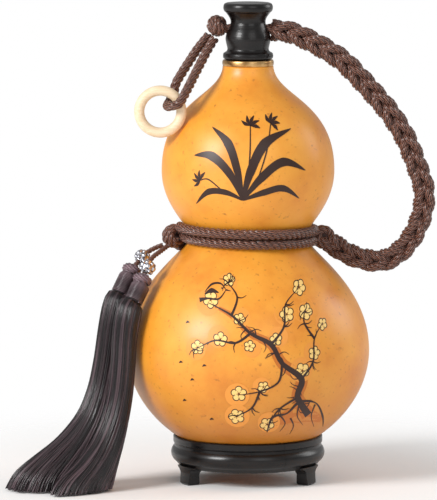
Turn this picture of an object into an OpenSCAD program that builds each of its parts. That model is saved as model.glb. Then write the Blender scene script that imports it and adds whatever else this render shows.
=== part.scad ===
// Gourd water bottle on a footed stand, with a braided carrying strap,
// a waist lashing, a wooden finger ring and a pair of tassels.
// Millimetres. +Z is up, -Y is the front. The origin lies on the gourd's
// own axis, at the height of the surface that the stand's feet rest on.

/* [Gourd] */
// Largest radius of the lower bulb
lower_r = 65.5; // [60:0.5:70]
// Height of the lower bulb's largest radius
lower_z = 71; // [66:1:76]
// Radius at the waist
waist_r = 31.6; // [28:0.2:34]
// Height of the waist
waist_z = 132.8; // [130:0.2:136]
// Largest radius of the upper bulb
upper_r = 46.6; // [42:0.2:50]
// Height of the upper bulb's largest radius
upper_z = 168.5; // [164:0.5:172]
// Radius of the neck at its cut rim
neck_r = 13.6; // [13.2:0.1:14.5]
// Height of the neck's cut rim
neck_z = 225; // [222:0.5:228]
// Height of the gourd's underside above the table
base_z = 13; // [12:0.5:14]
// Thickness of the dried gourd wall
wall = 3.6; // [2.5:0.1:5]

/* [Mouth and stopper] */
// Height of the brass ring's visible band
mouth_band_h = 3.2; // [2:0.1:4]
// Radius of the brass ring's visible band
mouth_band_r = 13.9; // [13.6:0.1:15]
// Radius of the bore cut down the neck
neck_bore_r = 10.5; // [9:0.1:11]
// Depth of the brass sleeve below the rim
sleeve_depth = 13; // [8:0.5:16]
// Radius of the cork at its upper end
cork_r = 8.9; // [8:0.1:9]
// Height of the stopper above the brass ring
stopper_h = 30.7; // [28:0.1:34]
// Radius of the hole drilled across the stopper for the cord
cord_hole_r = 2.75; // [2.6:0.05:3]

/* [Stand] */
// Overall height of the stand
stand_h = 25; // [22:0.5:25.5]
// Largest radius of the stand's moulding
stand_r = 41.6; // [41:0.1:44]
// Height of the underside of the rail
rail_z = 9; // [7:0.5:10]
// Radius of the opening through the rail
stand_open_r = 30.5; // [26:0.5:32]
// Width of a leg across its foot
foot_w = 8.8; // [7:0.2:11]
// Angle from the front to the first glued seam
seam_angle = 29; // [20:1:40]

/* [Cords] */
// Diameter of the twisted cord
cord_d = 5; // [4.6:0.1:5.2]
// Diameter of the thin cord that carries each tassel
lead_d = 2.6; // [2:0.1:2.8]
// Thickness of the braided strap
strap_d = 10.4; // [9:0.1:11]
// Turns of the lashing round the waist
waist_turns = 2; // [1:1:2]
// Height that the lashing drops in one turn
waist_pitch = 5.45; // [5.42:0.01:6]

/* [Ring and beads] */
// Outer diameter of the wooden finger ring
ring_d = 28; // [26:0.5:29]
// Thickness of the wooden ring
ring_t = 5.5; // [5:0.1:5.6]
// Widest radius of a metal bead across its petals
bead_r = 4.9; // [4.4:0.1:4.9]
// Petals round a metal bead
petals = 6; // [5:1:8]

/* [Tassels] */
// Radius of the whipped neck above a tassel's skirt
whip_r = 5.1; // [4.5:0.1:5.2]
// Locks of thread that the skirt falls in
locks = 9; // [6:1:12]
// Depth of the furrows between locks, as a share of the skirt's radius
lock_depth = 0.03; // [0.01:0.005:0.035]

/* [Hidden] */

$fn = 96;
BLACK = "#1d1a1b";
GOURD = "#f0a545";
BRASS = "#c79a5c";
CORK = "#c89a68";
CORD = "#6a3a33";
THREAD = "#4d3a3f";
BEECH = "#e8cfae";
SILVER = "#d4d4d8";

// Gap left between pieces that move on each other
running_gap = 0.3;
curve_steps = 14;

// The mouth and the stopper, up the gourd's axis
band_top = neck_z + mouth_band_h;
stopper_z = band_top + running_gap;
stopper_top = stopper_z + stopper_h;
sleeve_wall = 1.3;
sleeve_r = neck_bore_r - 0.1;
cork_bottom_z = neck_z - sleeve_depth + 0.5;
tenon_r = 5;
hole_z = stopper_z + 16.5;

// The lie of the pair of tassels: they hang side by side and swing in parallel planes
out_dir = [-0.8, -0.6, 0];
side_dir = [-0.6, 0.8, 0];
left_knot_at = [35, 20.3, 133.3];
knot_w = 5.6;
knot_h = 8.2;
stopper_knot_at = [-16.5, 0, 246.4];
stopper_knot_r = 5.7;
right_knot_at = [40.6, -1, 132.4];

ring_at = [-47, -20.5, 202];
ring_mid_r = (ring_d - ring_t) / 2;

// Helpers for directions and curves
function unit(v) = v / norm(v);
function at(p) = p[0] * out_dir + p[1] * side_dir + [0, 0, p[2]];
function heading(p, i) = unit(p[min(i + 1, len(p) - 1)] - p[max(i - 1, 0)]);
function any_side(t) = unit(cross(t, abs(t[2]) < 0.9 ? [0, 0, 1] : [0, 1, 0]));

// A direction square to the curve, carried along it without twisting
function carried(p, i = 0, side = [0, 0, 0]) =
    i == len(p) ? [] :
    let (t = heading(p, i),
         s = i == 0 ? any_side(t) : unit(side - (side * t) * t))
    concat([[t, s]], carried(p, i + 1, s));

// A smooth curve through the given points, n steps from each to the next
function smooth(p, n) = concat(
    [for (i = [0:len(p) - 2])
        let (a = p[max(i - 1, 0)], b = p[i], c = p[i + 1], d = p[min(i + 2, len(p) - 1)])
        for (j = [0:n - 1])
            let (t = j / n)
            0.5 * (2 * b + (c - a) * t + (2 * a - 5 * b + 4 * c - d) * t * t
                   + (3 * b - a - 3 * c + d) * t * t * t)],
    [p[len(p) - 1]]);

// A cubic curve from its two ends and its two handles, without its last point
function swept(a, b, c, d, n) =
    [for (i = [0:n - 1])
        let (t = i / n, u = 1 - t)
        u * u * u * a + 3 * u * u * t * b + 3 * u * t * t * c + t * t * t * d];

function length_of(p, i = 0) = i >= len(p) - 1 ? 0 : norm(p[i + 1] - p[i]) + length_of(p, i + 1);

// Gourd outline from the underside to the rim, as radius and height
outline = concat(
    swept([0, base_z], [36, base_z], [lower_r, 41], [lower_r, lower_z], curve_steps),
    swept([lower_r, lower_z], [lower_r, lower_z + 36], [waist_r, waist_z - 8],
          [waist_r, waist_z], curve_steps),
    swept([waist_r, waist_z], [waist_r, waist_z + 6], [upper_r, upper_z - 19],
          [upper_r, upper_z], curve_steps),
    swept([upper_r, upper_z], [upper_r, upper_z + 38], [neck_r + 1, neck_z - 17],
          [neck_r, neck_z], curve_steps),
    [[neck_r, neck_z]]);

// The outline moved square to itself: outwards for a seat, inwards for the wall
function moved(p, by) =
    [for (i = [0:len(p) - 1])
        let (t = i == 0 ? [1, 0] : i == len(p) - 1 ? [0, 1] : heading(p, i))
        [max(0, p[i][0] + by * t[1]), p[i][1] - by * t[0]]];

gourd_radius = [for (p = outline) [p[1], p[0]]];

// A round cord along a route, closed at both ends
module tube(route, radius, sides) {
    frames = carried(route);
    last = len(route) - 1;
    points = [for (i = [0:last])
        let (t = frames[i][0], s = frames[i][1], u = cross(t, s))
        for (k = [0:sides - 1])
            route[i] + radius * (cos(360 * k / sides) * s + sin(360 * k / sides) * u)];
    skin(points, last, sides);
}

// Faces over rings of points, with flat ends
module skin(points, last, sides) {
    walls = [for (i = [0:last - 1], k = [0:sides - 1])
        let (a = i * sides + k, b = i * sides + (k + 1) % sides)
        for (f = [[a, b + sides, b], [a, a + sides, b + sides]]) f];
    start = [for (k = [0:sides - 1]) k];
    finish = [for (k = [sides - 1:-1:0]) last * sides + k];
    polyhedron(points, concat([start, finish], walls));
}

// A bulging knot, as a solid of revolution
module bulge(w, h) {
    rotate_extrude()
        polygon([for (a = [-90:15:90]) [w * cos(a), h * sin(a)]]);
}

// Stand

seat_gap = 0.35;

module stand_profile() {
    bead_r_z = 5.2;
    lip_r = stand_r - 1.2;
    difference() {
        union() {
            polygon([[stand_open_r, rail_z], [stand_r - 4, rail_z], [stand_r - 1.6, rail_z + 3],
                     [stand_r - 1.6, rail_z + 10], [lip_r - 0.6, rail_z + 11.6],
                     [lip_r, rail_z + 12.4], [lip_r, stand_h - 0.6], [lip_r - 0.6, stand_h],
                     [stand_open_r, stand_h]]);
            translate([stand_r - bead_r_z, rail_z + 6.4])
                circle(bead_r_z);
        }
        polygon(concat(moved(outline, seat_gap), [[0, neck_z]]));
        translate([0, rail_z - 1])
            square([stand_open_r, stand_h]);
    }
}

// Outline of a leg seen from outside the ring: a rounded foot, then a flare into the rail
module leg_face() {
    half = foot_w / 2;
    flare = 3.6;
    top = rail_z + 1;
    foot_round = 1.4;
    right = concat(
        [for (a = [-90:30:0])
            [half - foot_round + foot_round * cos(a), foot_round + foot_round * sin(a)]],
        [for (a = [180:-15:90])
            [half + 0.4 + flare + flare * cos(a), rail_z - flare + flare * sin(a)]],
        [[half + 0.4 + flare, top]]);
    left = [for (i = [len(right) - 1:-1:0]) [-right[i][0], right[i][1]]];
    polygon(concat(right, left));
}

module leg(angle) {
    intersection() {
        rotate_extrude()
            polygon([[33.6, 0], [39, 0], [40, 1], [39.6, 4], [39.4, 6.5], [39.9, rail_z + 1.6],
                     [32.4, rail_z + 1.6], [33.4, 6], [33, 1]]);
        rotate([0, 0, angle])
            translate([25, 0, 0])
                rotate([90, 0, 90])
                    linear_extrude(20)
                        leg_face();
    }
}

dowel_r = 1.5;
dowel_l = 12;
dowel_ring_r = 35.6;
dowel_z = rail_z + 6;

module dowel_at(angle, r) {
    rotate([0, 0, angle])
        translate([dowel_ring_r, 0, dowel_z])
            rotate([90, 0, 0])
                cylinder(r = r, h = dowel_l, center = true);
}

// Angles run anticlockwise from +X, and the front is at 270
front_angle = 270;
seam_gap_deg = 0.16;

module stand_segment(index, leg_angle) {
    start = front_angle + seam_angle + 120 * index;
    color(BLACK)
        difference() {
            union() {
                rotate([0, 0, start + seam_gap_deg / 2])
                    rotate_extrude(angle = 120 - seam_gap_deg)
                        stand_profile();
                leg(leg_angle);
            }
            for (side = [0, 1])
                dowel_at(start + 120 * side, dowel_r + 0.05);
        }
}

module stand_segment_right() { stand_segment(0, front_angle + 60); }
module stand_segment_back() { stand_segment(1, front_angle + 180); }
module stand_segment_left() { stand_segment(2, front_angle - 60); }

module seam_dowels() {
    color("tan")
        for (i = [0:2])
            dowel_at(front_angle + seam_angle + 120 * i, dowel_r);
}

// Gourd

module gourd_shell() {
    color(GOURD)
        rotate_extrude()
            difference() {
                polygon(concat(outline, [[0, neck_z]]));
                polygon(concat(moved(outline, -wall), [[0, neck_z + 1]]));
                translate([0, neck_z - 18])
                    square([neck_bore_r, 20]);
            }
}

// Brass ring: a rounded band on the rim and a sleeve that lines the mouth
module mouth_ring() {
    inner_r = sleeve_r - sleeve_wall;
    band_low = neck_z + 0.02;
    color(BRASS)
        rotate_extrude()
            polygon(concat(
                [[inner_r, band_low - sleeve_depth], [sleeve_r, band_low - sleeve_depth],
                 [sleeve_r, band_low], [mouth_band_r - 0.5, band_low]],
                [for (a = [-60:30:60])
                    [mouth_band_r - 0.6 + 0.6 * cos(a), (band_low + band_top) / 2
                     + (mouth_band_h / 2 - 0.05) * sin(a)]],
                [[mouth_band_r - 0.5, band_top], [inner_r + 0.4, band_top], [inner_r, band_top - 0.4]]));
}

// Stopper

// Turned outline above the brass ring, as radius and height over the stopper's underside
turned = smooth([[12.2, 0], [13.3, 0.7], [13.5, 2], [13.2, 3.3], [11.8, 4.2], [11.1, 5.6],
                 [11.7, 8.4], [12.15, 11.4], [11.3, 15], [9.7, 18.6], [9.4, 20.4], [10, 22.4],
                 [11.8, 25], [12.7, 25.8], [13.2, 26.8], [13.3, 28.4], [12.8, 29.8],
                 [11.6, 30.4]], 3);

module stopper_head() {
    color(BLACK)
        difference() {
            rotate_extrude()
                polygon(concat(
                    [[0, cork_bottom_z + 1.5], [tenon_r - 0.05, cork_bottom_z + 1.5],
                     [tenon_r - 0.05, stopper_z]],
                    [for (p = turned) [p[0], stopper_z + p[1]]],
                    [[0, stopper_top]]));
            translate([0, 0, hole_z])
                rotate([0, 90, 0])
                    cylinder(r = cord_hole_r, h = 40, center = true);
        }
}

module stopper_cork() {
    color(CORK)
        rotate_extrude()
            polygon([[tenon_r, cork_bottom_z], [cork_r - 1.1, cork_bottom_z],
                     [cork_r - 0.4, cork_bottom_z + 0.8], [cork_r - 0.05, cork_bottom_z + 9],
                     [cork_r - 0.05, stopper_z - 0.02], [tenon_r, stopper_z - 0.02]]);
}

// The cord that runs through the stopper, from inside the knot to just short of the strap
through_from = stopper_knot_at[0] + 3;
through_to = 12.8;

module through_cord() {
    color(CORD)
        translate([through_from, 0, hole_z])
            rotate([0, 90, 0])
                cylinder(r = cord_d / 2, h = through_to - through_from);
}

module stopper_knot() {
    color(CORD)
        translate(stopper_knot_at)
            sphere(stopper_knot_r);
}

// Strap: out of the stopper, over in a long arc and back to the lashing

strap_route = [
    [13.2, 0, 244], [22, 0, 243], [32, 0, 239], [42, 0, 233.5], [51, 0, 227.5], [58, 0, 220.5],
    [64.5, 0, 213.5], [70.5, 0, 206.5], [76, 0, 200], [81, 0, 192.5], [85.5, 0, 184.5],
    [89, 0, 176], [92, 0, 168], [94.5, 0, 160], [95, 0, 152], [93.5, 0, 143.5], [90, 0, 135],
    [85.5, 0, 128], [79.5, 0, 122.5], [72.5, 0, 119.5], [63.5, 0, 120], [54.5, 0, 123],
    [48, 0, 127], [43, 0, 130]];

module strap_braid() {
    color(CORD)
        tube(strap_route, strap_d / 2, 12);
}

// The doubled cord that the wooden ring hangs on: down in front, through and up behind

function on_ring(angle, r, y) = ring_at + [r * cos(angle), y, r * sin(angle)];

ring_route = [
    [-18.2, -2.4, 239.6], [-22, -6.5, 233.5], [-25.5, -10.5, 227], [-29, -15.5, 220.5],
    [-32.5, -21.5, 214], on_ring(26, ring_mid_r, -6.5), on_ring(31, 6.9, -5.1),
    on_ring(38, 4.8, 0), on_ring(45, 6.9, 5.1), on_ring(52, ring_mid_r, 6.5),
    [-38.6, -12.5, 216.5], [-35, -9, 222.5], [-30.8, -5, 228.8], [-26.4, -1, 235],
    [-21.2, 2.6, 241]];

module ring_cord() {
    color(CORD)
        tube(smooth(ring_route, 2), cord_d / 2, 10);
}

module wood_ring() {
    color(BEECH)
        translate(ring_at)
            rotate([90, 0, 0])
                rotate_extrude()
                    translate([ring_mid_r, 0])
                        circle(ring_t / 2);
}

// Lashing round the waist: one cord wound in a falling helix, both ends in the left knot

rings_per_turn = 24;
left_knot_angle = atan2(at(left_knot_at)[1], at(left_knot_at)[0]);
wind_steps = rings_per_turn * waist_turns;
wind_top = left_knot_at[2] + waist_pitch * waist_turns / 2;

function wound(i) =
    let (angle = left_knot_angle + 5 + (360 * waist_turns - 10) * i / wind_steps,
         z = wind_top - waist_pitch * waist_turns * i / wind_steps,
         r = lookup(z, gourd_radius) + cord_d / 2 + 1)
    [r * cos(angle), r * sin(angle), z];

winding = [for (i = [0:wind_steps]) wound(i)];
waist_route = concat(
    [winding[0] - cord_d * unit(winding[1] - winding[0])],
    winding,
    [winding[wind_steps] + cord_d * unit(winding[wind_steps] - winding[wind_steps - 1])]);

// Least gap of the winding to itself, over pairs of points more than half a turn apart
winding_gap = min([for (i = [0:wind_steps], j = [0:wind_steps])
    if (j - i > rings_per_turn / 2) norm(winding[i] - winding[j])]) - cord_d;
echo(winding_gap_to_itself = winding_gap);
echo(strap_length = length_of(strap_route), ring_cord_length = length_of(smooth(ring_route, 8)),
     lashing_length = length_of(waist_route));

module waist_cord() {
    color(CORD)
        tube(waist_route, cord_d / 2, 6);
}

module waist_knot_left() {
    color(CORD)
        translate(at(left_knot_at))
            bulge(knot_w, knot_h);
}

module waist_knot_right() {
    color(CORD)
        translate(right_knot_at)
            bulge(5.4, 7.8);
}

// Leads, beads and tassels. A place is given as distance out, distance sideways and height.

lead_routes = [
    [[40.6, 17.8, 128.6], [47, 16.2, 126], [51.6, 15.4, 124], [54.1, 15.2, 121.9],
     [56.1, 15.2, 118.4], [58.1, 15.2, 114.9], [59.8, 14.8, 112]],
    [[40.6, 22.6, 128.6], [44.6, 24.4, 127], [48.6, 25.5, 124.9], [51.8, 25.5, 122.4],
     [55, 25.5, 119.9], [58.4, 26.2, 116.4]]];
bead_at = [[56.1, 15.2, 118.4], [51.8, 25.5, 122.4]];
bead_along = [[0.5, 0, -0.87], [0.78, 0, -0.61]];
tassel_knot_from = [[59.85, 14.8, 111.9], [58.6, 26.2, 116]];
neck_from = [[60.8, 14.3, 109.6], [60, 26.5, 113.6]];
neck_to = [[66.6, 13.9, 100.8], [65.8, 26.9, 103.6]];

// Turns the Z axis to a direction given in the tassels' own terms
module along(place, dir) {
    d = unit(dir[0] * out_dir + dir[1] * side_dir + [0, 0, dir[2]]);
    translate(at(place))
        rotate([0, acos(d[2]), atan2(d[1], d[0])])
            children();
}

module lead(i) {
    color(CORD)
        tube([for (p = smooth(lead_routes[i], 2)) at(p)], lead_d / 2, 8);
}

module lead_front() { lead(0); }
module lead_back() { lead(1); }

// Cast metal bead: an oblate core ringed by rows of round petals, bored for the lead
module bead(i) {
    petal_r = 1.7;
    small_r = 1.15;
    color(SILVER)
        along(bead_at[i], bead_along[i])
            difference() {
                union() {
                    rotate_extrude()
                        polygon([[0, -3.4], [2.3, -3.4], [2.6, -2.9], [3.6, -1.4], [3.9, 0],
                                 [3.6, 1.4], [2.6, 2.9], [2.3, 3.4], [0, 3.4]]);
                    for (k = [0:petals - 1]) {
                        rotate([0, 0, 360 * k / petals])
                            translate([bead_r - petal_r, 0, 0])
                                sphere(petal_r);
                        for (end = [-1, 1])
                            rotate([0, 0, 360 * (k + 0.5) / petals])
                                translate([bead_r - 2.1, 0, end * 2.05])
                                    sphere(small_r);
                    }
                }
                cylinder(r = lead_d / 2 + 0.3, h = 20, center = true);
            }
}

module bead_front() { bead(0); }
module bead_back() { bead(1); }

module tassel_knot(i) {
    color(THREAD)
        along(tassel_knot_from[i], [0.45, 0, -0.89])
            bulge(5.3, 3.5);
}

module tassel_knot_front() { tassel_knot(0); }
module tassel_knot_back() { tassel_knot(1); }

// Whipped neck between the knot and the skirt, with rounded ends
module tassel_neck(i) {
    reach = neck_to[i] - neck_from[i];
    h = norm(reach);
    color(THREAD)
        along(neck_from[i], reach)
            rotate_extrude()
                polygon([[0, 0], [whip_r - 1.2, 0], [whip_r - 0.2, 1], [whip_r, 2.4],
                         [whip_r - 0.1, h - 1], [whip_r - 0.5, h], [0, h]]);
}

module tassel_neck_front() { tassel_neck(0); }
module tassel_neck_back() { tassel_neck(1); }

// Skirt sections down the fall of the threads: distance out, height, half thickness,
// slope of the section in degrees, distance sideways, half width
skirt_sections = [
    [[66.6, 100.7, 3.6, 36, 13.9, 3.6], [67.2, 99.7, 6, 34, 13.9, 5.6],
     [68.8, 96.5, 7.2, 28, 13.9, 6.1], [70.8, 90, 7.2, 20, 13.8, 6.2],
     [72.4, 80, 6.6, 12, 13.8, 6.2], [73.4, 67, 6.5, 10, 13.8, 6.2],
     [75.2, 52, 6.8, 12, 13.8, 6.2], [78.6, 38, 7.6, 14, 13.8, 6.2],
     [84, 25, 9.5, 16, 13.8, 6.2], [91, 14, 13, 14, 13.8, 6.2],
     [98, 6, 17.5, 8, 13.8, 6.2], [101, 1, 19.5, 0, 13.8, 6.2]],
    [[65.8, 103.5, 3.6, 36, 26.9, 3.6], [66.4, 102.4, 6, 34, 26.9, 5.6],
     [67.8, 99, 7.2, 28, 27, 6.1], [70, 92, 7.2, 20, 27.1, 6.2],
     [72.2, 82, 6.9, 12, 27.2, 6.2], [74.6, 67, 7, 12, 27.4, 6.4],
     [78, 52, 7.4, 15, 27.8, 6.7], [83, 38, 8.8, 18, 28.7, 7.6],
     [90.5, 25, 12, 20, 30.6, 9.4], [98, 14.5, 17, 17, 33.7, 12.4],
     [103.5, 7, 21.5, 7, 37.4, 16], [105, 1, 24, 0, 39.2, 17.4]]];
skirt_sides = 24;

module skirt(i) {
    rings = smooth(skirt_sections[i], 1);
    last = len(rings) - 1;
    points = [for (s = rings, k = [0:skirt_sides - 1])
        let (a = -360 * k / skirt_sides,
             swell = 1 + lock_depth * cos(locks * a),
             v = s[2] * swell * sin(a),
             u = s[5] * swell * cos(a))
        at([s[0] + v * cos(s[3]), s[4] + u, s[1] + v * sin(s[3])])];
    color(THREAD)
        skin(points, last, skirt_sides);
}

module tassel_skirt_front() { skirt(0); }
module tassel_skirt_back() { skirt(1); }

stand_segment_right();
stand_segment_back();
stand_segment_left();
seam_dowels();
gourd_shell();
mouth_ring();
stopper_head();
stopper_cork();
through_cord();
stopper_knot();
strap_braid();
ring_cord();
wood_ring();
waist_cord();
waist_knot_left();
waist_knot_right();
lead_front();
lead_back();
bead_front();
bead_back();
tassel_knot_front();
tassel_knot_back();
tassel_neck_front();
tassel_neck_back();
tassel_skirt_front();
tassel_skirt_back();
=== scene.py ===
import math
import random

import bpy
import numpy as np
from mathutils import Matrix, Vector


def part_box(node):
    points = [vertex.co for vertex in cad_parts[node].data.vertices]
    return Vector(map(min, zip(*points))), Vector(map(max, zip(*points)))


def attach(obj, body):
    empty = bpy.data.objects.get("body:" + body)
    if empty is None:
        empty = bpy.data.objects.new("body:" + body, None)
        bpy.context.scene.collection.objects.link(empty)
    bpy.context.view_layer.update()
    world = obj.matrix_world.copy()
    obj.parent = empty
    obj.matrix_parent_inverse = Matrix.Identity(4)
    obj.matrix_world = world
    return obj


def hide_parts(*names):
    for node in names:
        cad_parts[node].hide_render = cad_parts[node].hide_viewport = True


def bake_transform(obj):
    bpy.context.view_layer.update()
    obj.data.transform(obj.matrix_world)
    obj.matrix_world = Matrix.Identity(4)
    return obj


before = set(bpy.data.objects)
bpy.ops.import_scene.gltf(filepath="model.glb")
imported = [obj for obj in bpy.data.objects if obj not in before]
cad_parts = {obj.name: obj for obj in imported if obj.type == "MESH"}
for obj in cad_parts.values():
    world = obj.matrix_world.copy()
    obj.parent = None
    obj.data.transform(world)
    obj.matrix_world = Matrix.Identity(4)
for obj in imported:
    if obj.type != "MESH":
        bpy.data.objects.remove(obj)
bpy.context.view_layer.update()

bl_info = {
    "name": "Gourd Water Bottle",
    "version": (1, 0, 0),
    "blender": (4, 5, 0),
    "location": "3D View > Sidebar > Gourd Bottle",
    "description": "Dresses the modelled gourd bottle with its real finishes, cords and tassels",
    "category": "Add Mesh",
}

MM = 0.001

# Gourd outline shared with the model, in millimetres: radius and height
BASE_Z = 13.0
LOWER = (65.5, 71.0)
WAIST = (31.6, 132.8)
UPPER = (46.6, 168.5)
NECK = (13.6, 225.0)
OUTLINE_STEPS = 44
WALL = 3.6
# The smooth wall stands a hair inside the model's bore
MOUTH_R = 10.55
MOUTH_DEPTH = 11
INNER_TOP_BELOW_RIM = 12
# How far from round the gourd has grown, as a share of its radius
UNEVENNESS = 0.0012

# Diameters of the ring's cord and of the strap, in millimetres
CORD_D = 5.0

# Plies of a laid cord: how many, how far out they lie and how thick they are, as shares of
# the cord's diameter
PLIES = 3
PLY_OUT = 0.27
PLY_RADIUS = 0.262
PLY_SIDES = 8
# Length of one full twist, in millimetres
CORD_LAY = 10.5
LEAD_LAY = 6.0
KNOT_LAY = 9.0
STRAND_LAY = 8.5

# Braid of the strap: strands, length of one full crossing, and how far a strand swings
STRANDS = 4
BRAID_PERIOD = 38.0
BRAID_SWING = 3.7
BRAID_CROSS = 2.2

STRAP_ROUTE = [
    (13.2, 0, 244), (22, 0, 243), (32, 0, 239), (42, 0, 233.5), (51, 0, 227.5), (58, 0, 220.5),
    (64.5, 0, 213.5), (70.5, 0, 206.5), (76, 0, 200), (81, 0, 192.5), (85.5, 0, 184.5),
    (89, 0, 176), (92, 0, 168), (94.5, 0, 160), (95, 0, 152), (93.5, 0, 143.5), (90, 0, 135),
    (85.5, 0, 128), (79.5, 0, 122.5), (72.5, 0, 119.5), (63.5, 0, 120), (54.5, 0, 123),
    (48, 0, 127), (43, 0, 130)]
THROUGH_ROUTE = [(-13.5, 0, 245), (0, 0, 245), (12.9, 0, 245)]

RING_AT = np.array([-47.0, -20.5, 202.0])
RING_MID_R = 11.25
RING_FACES_ROUND = 120
RING_FACES_ACROSS = 28


def on_ring(angle, r, y):
    """A place by the wooden ring: angle in degrees, distance from its centre, and depth."""
    a = math.radians(angle)
    return tuple(RING_AT + np.array([r * math.cos(a), y, r * math.sin(a)]))


RING_ROUTE = [
    (-18.2, -2.4, 239.6), (-22, -6.5, 233.5), (-25.5, -10.5, 227), (-29, -15.5, 220.5),
    (-32.5, -21.5, 214), on_ring(26, RING_MID_R, -6.5), on_ring(31, 6.9, -5.1),
    on_ring(38, 4.8, 0), on_ring(45, 6.9, 5.1), on_ring(52, RING_MID_R, 6.5),
    (-38.6, -12.5, 216.5), (-35, -9, 222.5), (-30.8, -5, 228.8), (-26.4, -1, 235),
    (-21.2, 2.6, 241)]

# Directions of the tassels' own plane: out from the gourd, and sideways
OUT_DIR = np.array([-0.8, -0.6, 0.0])
SIDE_DIR = np.array([-0.6, 0.8, 0.0])


def at(p):
    """A tassel place, out, sideways and up, as a place in the row frame in millimetres."""
    return p[0] * OUT_DIR + p[1] * SIDE_DIR + np.array([0, 0, p[2]])


LEFT_KNOT = at((35, 20.3, 133.3))
# Node, body, centre, axis, half width, half height, turns of cord, diameter of that cord
KNOTS = [
    ("waist_knot_left", "gourd", LEFT_KNOT, (0.55, -0.83, 0.1), 6.6, 5.4, 3, 4.6),
    ("waist_knot_right", "gourd", (40.6, -1.0, 132.4), (0.2, -0.95, 0.25), 6.6, 5.4, 3, 4.6),
    ("stopper_knot", "stopper", (-16.5, 0.0, 246.4), (0.75, -0.2, 0.45), 6.0, 5.8, 4, 3.8)]

# Lashing: turns, fall in one turn, distance out from the gourd, and the gap at the left knot
WAIST_TURNS = 2
WAIST_PITCH = 5.45
LASHING_OUT = 3.35
LASHING_GAP_DEG = 3
LASHING_POINTS = 97

# Tassels: out, sideways and up
LEADS = {
    "front": [(40.6, 17.8, 128.6), (47, 16.2, 126), (51.6, 15.4, 124), (54.1, 15.2, 121.9),
              (56.1, 15.2, 118.4), (58.1, 15.2, 114.9), (59.8, 14.8, 112)],
    "back": [(40.6, 22.6, 128.6), (44.6, 24.4, 127), (48.6, 25.5, 124.9), (51.8, 25.5, 122.4),
             (55, 25.5, 119.9), (58.4, 26.2, 116.4)]}
TASSEL_KNOT = {"front": (59.85, 14.8, 111.9), "back": (58.6, 26.2, 116)}
TASSEL_KNOT_AXIS = 0.45 * OUT_DIR + np.array([0, 0, -0.89])
# Half width, half height, turns of thread, and diameter of that thread
TASSEL_KNOT_SIZE = (5.4, 3.7, 4, 2.2)
NECK_FROM = {"front": (60.8, 14.3, 109.6), "back": (60, 26.5, 113.6)}
NECK_TO = {"front": (66.6, 13.9, 100.8), "back": (65.8, 26.9, 103.6)}
# Whipping of a tassel's neck: turns, radius, thread radius, and the first turns drawn in
WHIP_TURNS = 15
WHIP_R = 4.75
WHIP_THREAD_R = 0.42
WHIP_DRAWN_IN = 0.9
WHIP_DRAWN_SHARE = 0.12
# Skirt sections: out, up, half thickness, slope in degrees, sideways, half width
SKIRT = {
    "front": [(66.6, 100.7, 3.6, 36, 13.9, 3.6), (67.2, 99.7, 6, 34, 13.9, 5.6),
              (68.8, 96.5, 7.2, 28, 13.9, 6.1), (70.8, 90, 7.2, 20, 13.8, 6.2),
              (72.4, 80, 6.6, 12, 13.8, 6.2), (73.4, 67, 6.5, 10, 13.8, 6.2),
              (75.2, 52, 6.8, 12, 13.8, 6.2), (78.6, 38, 7.6, 14, 13.8, 6.2),
              (84, 25, 9.5, 16, 13.8, 6.2), (91, 14, 13, 14, 13.8, 6.2),
              (98, 6, 17.5, 8, 13.8, 6.2), (101, 1, 19.5, 0, 13.8, 6.2)],
    "back": [(65.8, 103.5, 3.6, 36, 26.9, 3.6), (66.4, 102.4, 6, 34, 26.9, 5.6),
             (67.8, 99, 7.2, 28, 27, 6.1), (70, 92, 7.2, 20, 27.1, 6.2),
             (72.2, 82, 6.9, 12, 27.2, 6.2), (74.6, 67, 7, 12, 27.4, 6.4),
             (78, 52, 7.4, 15, 27.8, 6.7), (83, 38, 8.8, 18, 28.7, 7.6),
             (90.5, 25, 12, 20, 30.6, 9.4), (98, 14.5, 17, 17, 33.7, 12.4),
             (103.5, 7, 21.5, 7, 37.4, 16), (105, 1, 24, 0, 39.2, 17.4)]}
# Threads: random seeds, steps that some stop short by, lowest centreline and spacing of points
SEEDS = {"front": 11, "back": 12}
STOPS_SHORT = [0, 0, 0, 1, 1, 2, 3]
THREAD_LOWEST = 0.7
CORE_LOWEST = 0.8
THREAD_STEP = 3.2
CORE_SHARE = 0.9
LOCKS = 9

# Lamps, in metres: place, point aimed at, width, and power in watts
LAMPS = {
    "window_key": ((-1.5, -1.2, 1.1), (0, 0, 0.12), 0.75, 40.0),
    "front_fill": ((0.9, -2.2, 1.3), (0, 0, 0.1), 1.4, 9.0),
    "right_rim": ((1.6, 0.6, 0.8), (0, 0, 0.12), 0.9, 9.0)}
SKY_STRENGTH = 0.46
FLOOR_HALF = 6
# The floor fades to white between these distances from the axis, in metres
FADE_FROM = 0.09
FADE_TO = 0.3
# Camera, in metres: height of what it shows on the bottle's axis, the point it is aimed at,
# and how far back and how much higher it stands
PHOTO_HEIGHT_PX = 500
MM_PER_PX = 0.54
VIEW_HEIGHT = PHOTO_HEIGHT_PX * MM_PER_PX * MM
CAMERA_AIM = Vector((-0.0159, 0, 0.1252))
CAMERA_BACK = 2.8
CAMERA_RISE = 0.32
# Height of its sensor, in millimetres
SENSOR_HEIGHT = 24


# Curves

def distances(points):
    """Distance along the curve to each of its points."""
    gaps = np.linalg.norm(np.diff(points, axis=0), axis=1)
    return np.concatenate([[0], np.cumsum(gaps)])


def length_of(points):
    """Length of the whole curve."""
    return float(distances(points)[-1])


def headings(points):
    """Direction of the curve at each of its points, as unit vectors."""
    t = np.gradient(points, axis=0)
    return t / np.linalg.norm(t, axis=1)[:, None]


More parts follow.
